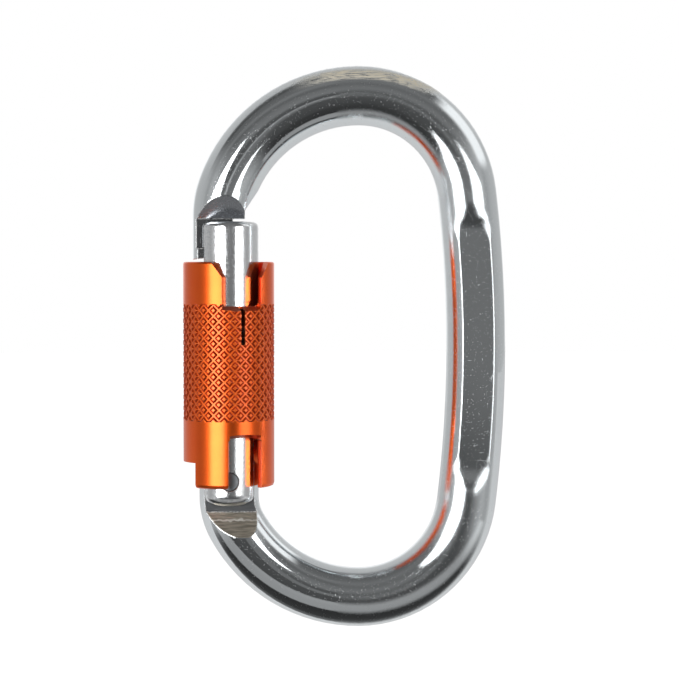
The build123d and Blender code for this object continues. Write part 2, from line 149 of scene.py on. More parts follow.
world = bpy.data.worlds.new("studio")
bpy.context.scene.world = world
world.use_nodes = True
sky = world.node_tree
sky.nodes.clear()
way_x, way_y, way_z = parts(sky, add(sky, "ShaderNodeTexCoord").outputs["Generated"])
aside = calc(sky, "ABSOLUTE", way_x)
forward = calc(sky, "MULTIPLY", way_y, -1.0)

# room: by tilt in the middle, by bearing at the sides; 0 is behind and below, 0.5 straight ahead
tilt = calc(sky, "MULTIPLY_ADD", calc(sky, "ARCTAN2", way_z, forward), 0.5 / math.pi, 0.5)
room_by_tilt = [
    (-180, 0.28), (-165, 0.50), (-146, 0.45), (-130, 0.30), (-112, 0.12), (-98, 0.04), (-68, 0.03),
    (-41, 0.04), (-30, 0.06), (-12, 0.07), (0, 0.07), (2.5, 0.50), (5, 0.08), (11, 0.08),
    (21, 0.18), (33, 0.16), (44, 0.12), (56, 0.18), (67, 0.13), (80, 0.12), (93, 0.07),
    (103, 0.13), (112, 0.48), (134, 0.52), (146, 0.55), (165, 0.60), (180, 0.28),
]
middle_room = ramp(sky, tilt, [(0.5 + turn / 360, level) for turn, level in room_by_tilt])
bearing = calc(sky, "DIVIDE", calc(sky, "ARCTAN2", aside, forward), math.pi)
room_by_bearing = [
    (0, 0.16), (14, 0.16), (60, 0.42), (74, 0.34), (90, 0.42), (112, 0.46), (134, 0.48),
    (146, 0.55), (165, 0.60), (180, 0.28),
]
side_room = ramp(sky, bearing, [(turn / 180, level) for turn, level in room_by_bearing])
upright = calc(sky, "ARCTAN2", calc(sky, "ABSOLUTE", way_z), aside)
side_share = step(sky, upright, math.radians(42), math.radians(20))
room = add(sky, "ShaderNodeMix", [(0, side_share), (2, middle_room), (3, side_room)]).outputs[0]
# a white wall high on the right, beside the carabiner
wall = calc(sky, "MULTIPLY", step(sky, way_x, 0.22, 0.34), step(sky, way_z, 0.26, 0.36))
wall = calc(sky, "MULTIPLY", wall, step(sky, way_y, -0.42, -0.28))
wall = calc(sky, "MULTIPLY", wall, step(sky, way_y, 0.50, 0.35))
wall = calc(sky, "MULTIPLY", wall, step(sky, calc(sky, "SUBTRACT", way_x, way_z), -0.22, 0.0))
room_level = add(sky, "ShaderNodeMix", [(0, wall), (2, room), (3, 1.0)]).outputs[0]

# the backdrop is white to the camera, through glass, and in metal where it lies behind
seen = add(sky, "ShaderNodeLightPath").outputs
behind = step(sky, way_y, 0.80, 0.97)
shown = calc(sky, "MULTIPLY_ADD", seen["Is Glossy Ray"], behind, seen["Is Camera Ray"])
shown = calc(sky, "ADD", shown, seen["Is Transmission Ray"], clamp=True)
level = add(sky, "ShaderNodeMix", [(0, shown), (2, room_level), (3, 1.0)]).outputs[0]
background = add(sky, "ShaderNodeBackground", [("Color", (1, 1, 1, 1)), ("Strength", level)])
add(sky, "ShaderNodeOutputWorld", [(0, background.outputs[0])])


BOX_DISTANCE = 0.30
CARD_W, CARD_D = 0.30, 0.050
CARD_FRONT = 0.045
CARD_DROP = 0.022


def flat_lamp(name, across, along, brightness):
    """A rectangular lamp; its face is as bright as a white that shines brightness."""
    lamp = bpy.data.lights.new(name, "AREA")
    lamp.shape = "RECTANGLE"
    lamp.size, lamp.size_y = across, along
    lamp.energy = brightness * math.pi * across * along
    box = bpy.data.objects.new(name, lamp)
    box.visible_camera = False
    bpy.context.scene.collection.objects.link(box)
    return box


def soft_box(name, low, high, brightness, lean=0.0):
    """A flat lamp in front, facing the object, between two corners (x, z); its top leans left
    by a number of degrees."""
    box = flat_lamp(name, high[0] - low[0], high[1] - low[1], brightness)
    box.location = ((low[0] + high[0]) / 2, -BOX_DISTANCE, (low[1] + high[1]) / 2)
    box.rotation_euler = (math.pi / 2, -math.radians(lean), 0)


soft_box("left_box", (-0.38, -0.16), (-0.115, 0.10), 5.5, lean=15)
soft_box("right_box", (0.122, -0.105), (0.40, 0.06), 2.8)
low_card = flat_lamp("low_card", CARD_W, CARD_D, 0.26)
low_card.location = (0, -CARD_FRONT, frame_low.z - CARD_DROP)
low_card.rotation_euler = (math.pi, 0, 0)


# ---- Frame.
# A round aluminium bar bent to an oval, with flats pressed on the spine and facets milled at
# the nose and the hinge end, then tumbled and polished bright.
def mm(tree, place):
    """A place in metres, in millimetres."""
    inputs = [(0, place), ("Scale", 1000.0)]
    return add(tree, "ShaderNodeVectorMath", inputs, operation="SCALE").outputs[0]


def grain(tree, place, scale, stretch=(1, 1, 1), detail=2.0, turn=0.0):
    """Noise on a place in millimetres; scale is per millimetre."""
    spread = add(tree, "ShaderNodeMapping", [("Vector", place), ("Scale", stretch)])
    spread.inputs["Rotation"].default_value = (0.35 * turn, turn, 0.2 * turn)
    inputs = [("Vector", spread.outputs[0]), ("Scale", scale), ("Detail", detail)]
    return add(tree, "ShaderNodeTexNoise", inputs).outputs[0]


def highest(tree, *values):
    """The largest of several sockets."""
    result = values[0]
    for value in values[1:]:
        result = calc(tree, "MAXIMUM", result, value)
    return result


def product(tree, *values):
    """All of several sockets and numbers multiplied."""
    result = values[0]
    for value in values[1:]:
        result = calc(tree, "MULTIPLY", result, value)
    return result


def blend_colour(tree, share, first, second):
    """A colour between two others."""
    inputs = [(0, share), (6, first), (7, second)]
    return add(tree, "ShaderNodeMix", inputs, data_type="RGBA").outputs[2]


def worn_edges(tree, radius):
    """1 on sharp edges, 0 on plain faces, and the normal rounded over them."""
    plain, sharp = 0.995, 0.895
    rounded = add(tree, "ShaderNodeBevel", [("Radius", radius)], samples=6).outputs[0]
    true = add(tree, "ShaderNodeNewGeometry").outputs["Normal"]
    along = add(tree, "ShaderNodeVectorMath", [(0, rounded), (1, true)], operation="DOT_PRODUCT")
    return step(tree, along.outputs["Value"], plain, sharp), rounded


def bumped(tree, height, depth, normal=None):
    """A Bump node over a height from 0 to 1, with its depth in millimetres."""
    inputs = [("Strength", 1.0), ("Distance", depth / 1000), ("Height", height)]
    if normal is not None:
        inputs.append(("Normal", normal))
    return add(tree, "ShaderNodeBump", inputs).outputs[0]


def new_metal(name):
    """A metal's material, its node tree and its shader."""
    material = bpy.data.materials.new(name)
    material.use_nodes = True
    tree = material.node_tree
    shader = tree.nodes["Principled BSDF"]
    shader.inputs["Metallic"].default_value = 1.0
    return material, tree, shader


def give(material, *nodes):
    """Puts a material on CAD nodes."""
    for name in nodes:
        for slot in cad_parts[name].material_slots:
            slot.material = material


gate_low, gate_high = (Vector(corner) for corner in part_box("gate"))
gate_x = (gate_low.x + gate_high.x) / 2
gate_r = (gate_high.x - gate_low.x) / 2

# places in millimetres
loop_x = loop_middle.x * 1000
loop_z = loop_middle.z * 1000
bar_r = (frame_high.y - frame_low.y) / 2 * 1000
shoulder_z = gate_high.z * 1000 + 0.6
nose_top = shoulder_z + 5.2
nose_low = -60.0  # well under the nose and above the heel
heel_high = gate_low.z * 1000 + 6.0
heel_low = gate_low.z * 1000 - 7.5
heel_line = gate_low.z * 1000 - 2.2
bow_side = gate_x * 1000 + 7.5  # the facets end before this
flat_side = gate_x * 1000 + 20.0
FLAT_HALF = 20.5  # the spine's flats run out past this, from the middle of the loop
FLAT_RUN_OUT = 3.0

polished, tree, shader = new_metal("polished_aluminium")
coords = add(tree, "ShaderNodeTexCoord").outputs
place = mm(tree, coords["Object"])
place_x, place_y, place_z = parts(tree, place)
facing_x, facing_y, facing_z = parts(tree, coords["Normal"])

# nicks left by tumbling, scratches from use, and what ropes rub on the outside of the top bow
nicks = step(tree, grain(tree, place, 3.0, detail=3.0), 0.64, 0.72)
patches = step(tree, grain(tree, place, 0.16), 0.42, 0.62)
scratches = highest(
    tree,
    step(tree, grain(tree, place, 1.0, (0.25, 7.0, 7.0), turn=0.5), 0.74, 0.77),
    step(tree, grain(tree, place, 1.0, (6.0, 0.22, 6.0), turn=-0.9), 0.72, 0.75),
    step(tree, grain(tree, place, 1.0, (7.5, 7.5, 0.3), turn=0.3), 0.74, 0.77),
)
outer_top = product(tree, step(tree, facing_z, 0.35, 0.75), step(tree, place_z, -22.0, -6.0))
rubbed_grain = step(tree, grain(tree, place, 1.0, (0.4, 3.0, 4.5), detail=4.0), 0.20, 0.62)
rubbed = product(
    tree,
    step(tree, facing_z, 0.44, 0.56),
    step(tree, facing_z, 0.90, 0.78),
    step(tree, place_x, -16.0, -4.0),
    step(tree, place_x, 24.0, 10.0),
    step(tree, place_z, 5.0, 8.0),
    rubbed_grain,
)
speckles = step(tree, grain(tree, place, 2.4, (0.5, 1, 1), 4.0), 0.55, 0.66)
speckled = product(tree, outer_top, speckles)

# milled facets and cheeks at both ends of the gate
level_faces = product(
    tree,
    step(tree, place_x, bow_side, bow_side - 0.7),
    step(tree, calc(tree, "ABSOLUTE", facing_x), 0.03, 0.01),
    step(tree, calc(tree, "ABSOLUTE", place_y), bar_r - 0.03, bar_r - 0.10),
)
nose_zone = product(
    tree,
    level_faces,
    step(tree, place_z, nose_top, nose_top - 0.6),
    step(tree, place_z, nose_low, nose_low + 5.0),
)
heel_zone = product(
    tree,
    level_faces,
    step(tree, place_z, heel_high, heel_high - 1.0),
    step(tree, place_z, heel_low, heel_low + 0.5),
)
cheek = step(tree, calc(tree, "ABSOLUTE", facing_y), 0.985, 0.995)
inward = calc(tree, "MULTIPLY", calc(tree, "SUBTRACT", place_x, loop_x), facing_x)
inner_side = step(tree, inward, -2.0, -16.0)
milled = step(tree, grain(tree, place, 1.0, (0.35, 2.0, 6.0), detail=3.0), 0.35, 0.68)
from_middle = calc(tree, "ABSOLUTE", calc(tree, "SUBTRACT", place_z, loop_z))
flat_ends = product(
    tree,
    step(tree, place_x, flat_side, flat_side + 2.0),
    step(tree, from_middle, FLAT_HALF, FLAT_HALF + FLAT_RUN_OUT),
)
# metres: 0.35 mm on edges, about 2 mm where the flats run out
edge_radius = calc(tree, "MULTIPLY_ADD", flat_ends, 0.0016, 0.00035)
edge_wear, rounded = worn_edges(tree, edge_radius)
edge_wear = product(tree, edge_wear, calc(tree, "SUBTRACT", 1.0, flat_ends))
edge_grain = step(tree, grain(tree, place, 2.6, detail=3.0), 0.34, 0.58)
# worn edges, also painted brighter as a highlight along them, most at the nose and heel facets
burr_and_highlight = product(tree, edge_wear, edge_grain, highest(tree, nose_zone, heel_zone, 0.15))

bright = (0.86, 0.90, 0.92, 1)
colour = blend_colour(tree, nicks, bright, (0.80, 0.81, 0.83, 1))
colour = blend_colour(tree, rubbed, colour, (0.95, 0.88, 0.72, 1))
colour = blend_colour(tree, nose_zone, colour, (0.50, 0.52, 0.55, 1))
heel_colour = blend_colour(tree, milled, (0.36, 0.33, 0.27, 1), (0.66, 0.60, 0.50, 1))
wavy_z = calc(tree, "ADD", grain(tree, place, 0.9, detail=3.0), place_z)
# painted highlight: a bright irregular line along the heel facet's top edge
glint_line = product(
    tree,
    step(tree, wavy_z, heel_line - 0.10, heel_line),
    step(tree, wavy_z, heel_line + 0.35, heel_line + 0.2),
)
# painted highlight: a lighter band near the heel facet's lower tip
lower_rim_highlight = step(tree, wavy_z, heel_line - 3.6, heel_line - 4.4)
heel_colour = blend_colour(tree, lower_rim_highlight, heel_colour, (0.80, 0.72, 0.56, 1))
heel_colour = blend_colour(tree, glint_line, heel_colour, (0.97, 0.94, 0.86, 1))
colour = blend_colour(tree, heel_zone, colour, heel_colour)
# painted shade: the flat cheeks beside the gate's ends are darkened to a dark grey
shaded_cheeks = product(tree, cheek, highest(tree, nose_zone, heel_zone))
colour = blend_colour(tree, shaded_cheeks, colour, (0.15, 0.155, 0.16, 1))
colour = blend_colour(tree, burr_and_highlight, colour, (0.96, 0.96, 0.95, 1))
tree.links.new(colour, shader.inputs["Base Color"])
# the worn patch is matt and scatters light as a powder does
tree.links.new(calc(tree, "MULTIPLY_ADD", rubbed, -0.55, 1.0), shader.inputs["Metallic"])
roughness = calc(tree, "MULTIPLY_ADD", patches, 0.03, 0.05)
for mask, extra in (
    (nicks, 0.30),
    (scratches, 0.14),
    (rubbed, 0.66),
    (inner_side, 0.10),
    (speckled, 0.20),
    (nose_zone, 0.20),
    (heel_zone, 0.30),
    (burr_and_highlight, 0.55),
):
    roughness = calc(tree, "MULTIPLY_ADD", mask, extra, roughness)
tree.links.new(roughness, shader.inputs["Roughness"])
relief = calc(tree, "MULTIPLY", nicks, -0.4)
relief = calc(tree, "MULTIPLY_ADD", scratches, -0.8, relief)
relief = calc(tree, "MULTIPLY_ADD", speckled, -2.0, relief)
relief = calc(tree, "MULTIPLY_ADD", rubbed, 2.0, relief)
relief = calc(tree, "MULTIPLY_ADD", product(tree, milled, heel_zone), 3.0, relief)
relief = calc(tree, "MULTIPLY_ADD", product(tree, edge_grain, edge_wear), 2.0, relief)
tree.links.new(bumped(tree, relief, 0.005, rounded), shader.inputs["Normal"])
give(polished, "frame")


# ---- Gate.
# A solid aluminium gate turned from bar, slotted over the nose blade and the tang, with a
# satin finish that still shows the turning marks.
satin, tree, shader = new_metal("gate_aluminium")
place = mm(tree, add(tree, "ShaderNodeTexCoord").outputs["Object"])
turning = grain(tree, place, 1.0, (0.05, 0.05, 14.0))
pits = step(tree, grain(tree, place, 2.4, detail=4.0), 0.44, 0.60)
edge_wear, rounded = worn_edges(tree, 0.0003)
colour = blend_colour(tree, pits, (0.93, 0.94, 0.95, 1), (0.78, 0.80, 0.82, 1))
tree.links.new(colour, shader.inputs["Base Color"])
roughness = calc(tree, "MULTIPLY_ADD", pits, 0.16, 0.11)
roughness = calc(tree, "MULTIPLY_ADD", edge_wear, 0.10, roughness)
tree.links.new(roughness, shader.inputs["Roughness"])
relief = calc(tree, "MULTIPLY_ADD", pits, -1.0, calc(tree, "MULTIPLY", turning, 0.5))
tree.links.new(bumped(tree, relief, 0.0025, rounded), shader.inputs["Normal"])
give(satin, "gate")


# ---- Hinge rivet.
# A steel rivet through the gate and the tang, its heads dressed flush; the hairline gap round each head is
# painted near-black as shade.
rivet_steel, tree, shader = new_metal("rivet_steel")
place = mm(tree, add(tree, "ShaderNodeTexCoord").outputs["Object"])
place_x, _, place_z = parts(tree, place)
rivet_low, rivet_high = (Vector(corner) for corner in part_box("hinge_rivet"))
rivet_r = (rivet_high.x - rivet_low.x) / 2
rivet_z = (rivet_high.z + rivet_low.z) / 2
off_x = calc(tree, "SUBTRACT", place_x, gate_x * 1000)
off_z = calc(tree, "SUBTRACT", place_z, rivet_z * 1000)
squares = calc(tree, "ADD", product(tree, off_x, off_x), product(tree, off_z, off_z))
from_axis = calc(tree, "SQRT", squares)
shaded_hairline = step(tree, from_axis, rivet_r * 1000 - 0.22, rivet_r * 1000 - 0.08)
dressing = grain(tree, place, 3.5, (0.4, 1.0, 2.5), detail=4.0)
colour = blend_colour(tree, dressing, (0.16, 0.17, 0.18, 1), (0.34, 0.35, 0.37, 1))
# painted shade: the hairline gap round the head is darkened to near black
colour = blend_colour(tree, shaded_hairline, colour, (0.03, 0.03, 0.03, 1))
tree.links.new(colour, shader.inputs["Base Color"])
roughness = calc(tree, "MULTIPLY_ADD", dressing, 0.2, 0.24)
tree.links.new(calc(tree, "MULTIPLY_ADD", shaded_hairline, 0.3, roughness), shader.inputs["Roughness"])
tree.links.new(bumped(tree, dressing, 0.01), shader.inputs["Normal"])
give(rivet_steel, "hinge_rivet")


# ---- Locking sleeve.
# A turned aluminium sleeve with a knurled band, cut for the nose, for the leg of its spring
# and at its foot, then dyed orange; it turns and is held by a bush inside it.
sleeve_low, sleeve_high = (Vector(corner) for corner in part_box("locking_sleeve"))
bush_low, bush_high = (Vector(corner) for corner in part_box("sleeve_bush"))
SLEEVE_R = (sleeve_high.y - sleeve_low.y) / 2 - 0.00001
BORE_R = (bush_high.y - bush_low.y) / 2 + 0.00002
LAND_R = gate_r + 0.00008
RIM_EDGE = 0.0004
SKIRT_EDGE = 0.0007
RIM_MIDDLE = RIM_EDGE / 3.4  # how far in the middle of a rounded edge stands
SKIRT_MIDDLE = SKIRT_EDGE / 3.4
NOTCH_TURN = math.radians(17.8)  # middle of the upper notch, from the front towards the spine
NOTCH_HALF = 0.00405
NOTCH_FLARE = 0.0019
FLARE_H = 0.0030
NOTCH_ROUND = 0.0012
notch_floor = sleeve_high.z - 0.0086
land_low = notch_floor - 0.0036
SLIT_HALF = 0.0004
SLIT_SKIN = 0.0004  # metal left behind the slit in the land
SLOPE_START = 0.0062  # the notch floor slopes down outwards from here
FLOOR_SLOPE = math.tan(math.radians(20))
slit_floor = sleeve_high.z - 0.0160
FOOT_TURN = math.radians(21.5)
FOOT_HALF = 0.0035
foot_roof = sleeve_low.z + 0.0095
FOOT_ROUND = 0.0005
RELIEF_FROM = math.radians(-48)  # the skirt stands higher from here, away from the spine
RELIEF_ARC = math.radians(-160)
relief_roof = sleeve_low.z + 0.0049

KNURLS_ROUND = 26
KNURLS_UP = 10.5
KNURL_CELLS = 12  # mesh cells across one diamond
KNURL_DEPTH = 0.00030
GROOVE_HALF = 0.9 / 12  # half width of a groove's floor as a share of the diamond
SLOPE_END = 4 / 12  # where the slope beside it reaches the skin
KNURL_GUARD = 0.00015  # plain rings beside the knurl keep its slopes off the bands
knurl_h = 0.00213  # height of one diamond
knurl_top = notch_floor + 0.0003
knurl_low = knurl_top - KNURLS_UP * knurl_h
columns = KNURLS_ROUND * KNURL_CELLS


def diamond_cut(column, row):
    """Depth of the knurl at a mesh corner, 0 on the skin and 1 in a groove. Grooves end at
    whole diamonds, so that the band's edges are zigzags."""
    depth = 0.0
    over, under = (column + row) / KNURL_CELLS, (column - row) / KNURL_CELLS
    for main, other, sign in ((over, under, 1), (under, over, -1)):
        line = round(main)
        cell = math.floor(other)
        for side in (line - 1, line):
            up = sign * (side - cell) / 2
            if 0.4 < up < KNURLS_UP - 0.4:
                depth = max(depth, (SLOPE_END - abs(main - line)) / (SLOPE_END - GROOVE_HALF))
    return min(max(depth, 0.0), 1.0)


def ring_on(mesh, radius, height, cuts=None):
    """One level ring of corners round the gate's axis."""
    ring = []
    for column in range(columns):
        turn = math.tau * column / columns
        out = radius - (KNURL_DEPTH * cuts(column) if cuts else 0.0)
        corner = (gate_x + out * math.sin(turn), -out * math.cos(turn), height)
        ring.append(mesh.verts.new(corner))
    return ring


def skin_between(mesh, low, high, row=None):
    """Faces between two rings; on the knurl each cell is split along its groove."""
    for column in range(columns):
        after = (column + 1) % columns
        a, b, c, d = low[column], low[after], high[after], high[column]
        if row is None:
            mesh.faces.new((a, b, c, d))
            continue
        over = (column + row + 1) / KNURL_CELLS
        under = (column - row) / KNURL_CELLS
        if abs(over - round(over)) < abs(under - round(under)):
            mesh.faces.new((a, b, d))
            mesh.faces.new((b, c, d))
        else:
            mesh.faces.new((a, b, c))
            mesh.faces.new((a, c, d))


def finished_object(name, mesh):
    """Turns a bmesh into an object in the scene, with its faces turned outwards."""
    bmesh.ops.recalc_face_normals(mesh, faces=mesh.faces)
    data = bpy.data.meshes.new(name)
    mesh.to_mesh(data)
    mesh.free()
    piece = bpy.data.objects.new(name, data)
    bpy.context.scene.collection.objects.link(piece)
    return piece


mesh = bmesh.new()
knurl_rows = round(KNURLS_UP * KNURL_CELLS)
rings = [
    (ring_on(mesh, SLEEVE_R - SKIRT_EDGE, sleeve_low.z), None),
    (ring_on(mesh, SLEEVE_R - SKIRT_MIDDLE, sleeve_low.z + SKIRT_MIDDLE), None),
    (ring_on(mesh, SLEEVE_R, sleeve_low.z + SKIRT_EDGE), None),
    (ring_on(mesh, SLEEVE_R, relief_roof), None),
    (ring_on(mesh, SLEEVE_R, knurl_low - 2 * KNURL_GUARD), None),
    (ring_on(mesh, SLEEVE_R, knurl_low - KNURL_GUARD), None),
]
for row in range(knurl_rows + 1):
    height = knurl_low + row * knurl_h / KNURL_CELLS
    rings.append((ring_on(mesh, SLEEVE_R, height, lambda column: diamond_cut(column, row)), row))
rings += [
    (ring_on(mesh, SLEEVE_R, knurl_top + KNURL_GUARD), None),
    (ring_on(mesh, SLEEVE_R, knurl_top + 2 * KNURL_GUARD), None),
    (ring_on(mesh, SLEEVE_R, sleeve_high.z - FLARE_H), None),
    (ring_on(mesh, SLEEVE_R, sleeve_high.z - RIM_EDGE), None),
    (ring_on(mesh, SLEEVE_R - RIM_MIDDLE, sleeve_high.z - RIM_MIDDLE), None),
    (ring_on(mesh, SLEEVE_R - RIM_EDGE, sleeve_high.z), None),
    (ring_on(mesh, BORE_R, sleeve_high.z), None),
    (ring_on(mesh, BORE_R, notch_floor), None),
    (ring_on(mesh, LAND_R, notch_floor), None),
    (ring_on(mesh, LAND_R, land_low), None),
    (ring_on(mesh, BORE_R, land_low), None),
    (ring_on(mesh, BORE_R, sleeve_low.z), None),
]
for (low, low_row), (high, high_row) in zip(rings, rings[1:] + rings[:1]):
    skin_between(mesh, low, high, None if high_row is None else low_row)
sleeve = finished_object("knurled_sleeve", mesh)


def cutter(name, outline, turn, near, far, far_outline=None):
    """A closed prism through the sleeve's wall; the outline is (across, height) seen from
    outside, facing out at an angle from the front. A far outline makes it taper."""
    out = Vector((math.sin(turn), -math.cos(turn), 0))
    across = Vector((math.cos(turn), math.sin(turn), 0))
    mesh = bmesh.new()
    ends = []
    for distance, shape in ((near, outline), (far, far_outline or outline)):
        ring = []
        for u, height in shape:
            place = Vector((gate_x, 0, height)) + across * u + out * distance
            ring.append(mesh.verts.new(place))
        ends.append(ring)
    count = len(outline)
    mesh.faces.new(ends[0])
    mesh.faces.new(ends[1])
    for corner in range(count):
        after = (corner + 1) % count
        mesh.faces.new((ends[0][corner], ends[0][after], ends[1][after], ends[1][corner]))
    return finished_object(name, mesh)


QUARTER_STEPS = 6


def quarter(middle_u, middle_z, radius, start):
    """Points of a quarter turn, from a start angle in degrees, anticlockwise."""
    points = []
    for part in range(QUARTER_STEPS + 1):
        turn = math.radians(start + 90 * part / QUARTER_STEPS)
        points.append((middle_u + radius * math.cos(turn), middle_z + radius * math.sin(turn)))
    return points


OVER = 0.001  # cutters run this far past the faces that they open
HAIR = 0.00001  # and this far past a face that they follow
notch_side = NOTCH_HALF - NOTCH_ROUND
notch_outline = quarter(-notch_side, notch_floor + NOTCH_ROUND, NOTCH_ROUND, 180)
notch_outline += quarter(notch_side, notch_floor + NOTCH_ROUND, NOTCH_ROUND, 270)
notch_outline += [
    (NOTCH_HALF, sleeve_high.z - FLARE_H),
    (NOTCH_HALF + NOTCH_FLARE, sleeve_high.z),
    (NOTCH_HALF + NOTCH_FLARE, sleeve_high.z + OVER),
    (-NOTCH_HALF - NOTCH_FLARE, sleeve_high.z + OVER),
    (-NOTCH_HALF - NOTCH_FLARE, sleeve_high.z),
    (-NOTCH_HALF, sleeve_high.z - FLARE_H),
]
slit_outline = [(SLIT_HALF, sleeve_high.z + OVER), (-SLIT_HALF, sleeve_high.z + OVER)]
slit_outline += [(-SLIT_HALF, slit_floor), (SLIT_HALF, slit_floor)]
slope_half = NOTCH_HALF - 0.0001
slope_drop = (SLEEVE_R + OVER - SLOPE_START) * FLOOR_SLOPE
slope_top = notch_floor + 0.0020
slope_near = [(-slope_half, notch_floor - HAIR), (slope_half, notch_floor - HAIR)]
slope_near += [(slope_half, slope_top), (-slope_half, slope_top)]
slope_far = [(-slope_half, notch_floor - slope_drop), (slope_half, notch_floor - slope_drop)]
slope_far += [(slope_half, slope_top), (-slope_half, slope_top)]
foot_side = FOOT_HALF - FOOT_ROUND
foot_outline = [(-FOOT_HALF, sleeve_low.z - OVER), (FOOT_HALF, sleeve_low.z - OVER)]
foot_outline += quarter(foot_side, foot_roof - FOOT_ROUND, FOOT_ROUND, 0)
foot_outline += quarter(-foot_side, foot_roof - FOOT_ROUND, FOOT_ROUND, 90)
roof_half = FOOT_HALF - FOOT_ROUND / 2
roof_under = foot_roof - 0.0010
roof_near = [(-roof_half, roof_under), (roof_half, roof_under)]
roof_near += [(roof_half, foot_roof + HAIR), (-roof_half, foot_roof + HAIR)]
roof_far = [(-roof_half, roof_under), (roof_half, roof_under)]
roof_far += [(roof_half, foot_roof + slope_drop), (-roof_half, foot_roof + slope_drop)]
cutters = [
    cutter("notch_cutter", notch_outline, NOTCH_TURN, 0.0, SLEEVE_R + OVER),
    cutter("slit_cutter", slit_outline, NOTCH_TURN, LAND_R + SLIT_SKIN, SLEEVE_R + OVER),
    cutter("slope_cutter", slope_near, NOTCH_TURN, SLOPE_START, SLEEVE_R + OVER, slope_far),
    cutter("foot_cutter", foot_outline, FOOT_TURN, 0.0, SLEEVE_R + OVER),
    cutter("roof_cutter", roof_near, FOOT_TURN, SLOPE_START, SLEEVE_R + OVER, roof_far),
]

# the high part of the skirt is cut by a sector
SECTOR_STEPS = 24
sector_r = SLEEVE_R + 2 * OVER
mesh = bmesh.new()
ends = []
for height in (sleeve_low.z - OVER, relief_roof):
    ring = [mesh.verts.new((gate_x, 0, height))]
    for part in range(SECTOR_STEPS + 1):
        turn = RELIEF_FROM + RELIEF_ARC * part / SECTOR_STEPS
        rim_x, rim_y = gate_x + sector_r * math.sin(turn), -sector_r * math.cos(turn)
        ring.append(mesh.verts.new((rim_x, rim_y, height)))
    ends.append(ring)
mesh.faces.new(ends[0])
mesh.faces.new(ends[1])
for corner in range(len(ends[0])):
    after = (corner + 1) % len(ends[0])
    mesh.faces.new((ends[0][corner], ends[0][after], ends[1][after], ends[1][corner]))
cutters.append(finished_object("relief_cutter", mesh))

for tool in cutters:
    cut = sleeve.modifiers.new("cut", "BOOLEAN")
    cut.operation = "DIFFERENCE"
    cut.solver = "EXACT"
    cut.object = tool
bpy.context.view_layer.update()
depsgraph = bpy.context.evaluated_depsgraph_get()
cut_mesh = bpy.data.meshes.new_from_object(sleeve.evaluated_get(depsgraph))
sleeve.modifiers.clear()
sleeve.data = cut_mesh
for tool in cutters:
    bpy.data.objects.remove(tool)
SHARP_FROM = math.radians(14)
for face in sleeve.data.polygons:
    face.use_smooth = True
sleeve.data.set_sharp_from_angle(angle=SHARP_FROM)

anodised, tree, shader = new_metal("orange_anodised")
coords = add(tree, "ShaderNodeTexCoord").outputs
place = mm(tree, coords["Object"])
place_x, place_y, place_z = parts(tree, place)
facing_z = parts(tree, coords["Normal"])[2]
cloud = grain(tree, place, 0.25, detail=3.0)
fine = grain(tree, place, 7.0, detail=3.0)
turning = grain(tree, place, 1.0, (0.1, 0.1, 9.0))
edge_wear, rounded = worn_edges(tree, 0.00012)
rubbed = product(tree, edge_wear, step(tree, grain(tree, place, 1.4, detail=3.0), 0.30, 0.60))
off_x = calc(tree, "SUBTRACT", place_x, gate_x * 1000)
squares = calc(tree, "ADD", product(tree, off_x, off_x), product(tree, place_y, place_y))
from_axis = calc(tree, "SQRT", squares)

# places in millimetres
skin_r = SLEEVE_R * 1000
groove_r = (SLEEVE_R - KNURL_DEPTH) * 1000
band_low, band_top = knurl_low * 1000, knurl_top * 1000
floor_z, slit_low = notch_floor * 1000, slit_floor * 1000
slit_side = SLIT_HALF * 1000
band = product(
    tree,
    step(tree, place_z, band_low, band_low + 0.1),
    step(tree, place_z, band_top, band_top - 0.1),
)
top_land = product(tree, band, step(tree, from_axis, skin_r - 0.05, skin_r - 0.02))
groove_floor = product(tree, band, step(tree, from_axis, groove_r + 0.05, groove_r + 0.02))
level_parts = highest(tree, top_land, groove_floor)
shaded_slope = product(tree, band, calc(tree, "SUBTRACT", 1.0, level_parts))
shaded_cut_floor = product(
    tree,
    step(tree, facing_z, 0.6, 0.8),
    step(tree, place_z, floor_z + 1.0, floor_z + 0.5),
)
across_x = product(tree, off_x, math.cos(NOTCH_TURN))
across = calc(tree, "ABSOLUTE", calc(tree, "MULTIPLY_ADD", place_y, math.sin(NOTCH_TURN), across_x))
slit_shade = product(
    tree,
    step(tree, across, slit_side + 0.10, slit_side + 0.04),
    step(tree, place_y, -4.0, -4.5),
    step(tree, from_axis, skin_r - 0.35, skin_r - 0.9),
    step(tree, place_z, slit_low - 0.2, slit_low),
    step(tree, place_z, floor_z - 0.1, floor_z - 0.6),
)
# the dye's own orange, with painted shade and painted highlights laid over it below
dye_and_painted_light = blend_colour(tree, cloud, (0.93, 0.105, 0.005, 1), (0.97, 0.140, 0.009, 1))
# painted shade: the knurl's slopes are darkened
dye_and_painted_light = blend_colour(tree, shaded_slope, dye_and_painted_light, (0.54, 0.047, 0.003, 1))
# painted shade: the upper notch's cut floor is darkened
dye_and_painted_light = blend_colour(tree, shaded_cut_floor, dye_and_painted_light, (0.42, 0.040, 0.004, 1))
# painted shade: the inside of the slit is darkened to near black
dye_and_painted_light = blend_colour(tree, slit_shade, dye_and_painted_light, (0.05, 0.010, 0.004, 1))
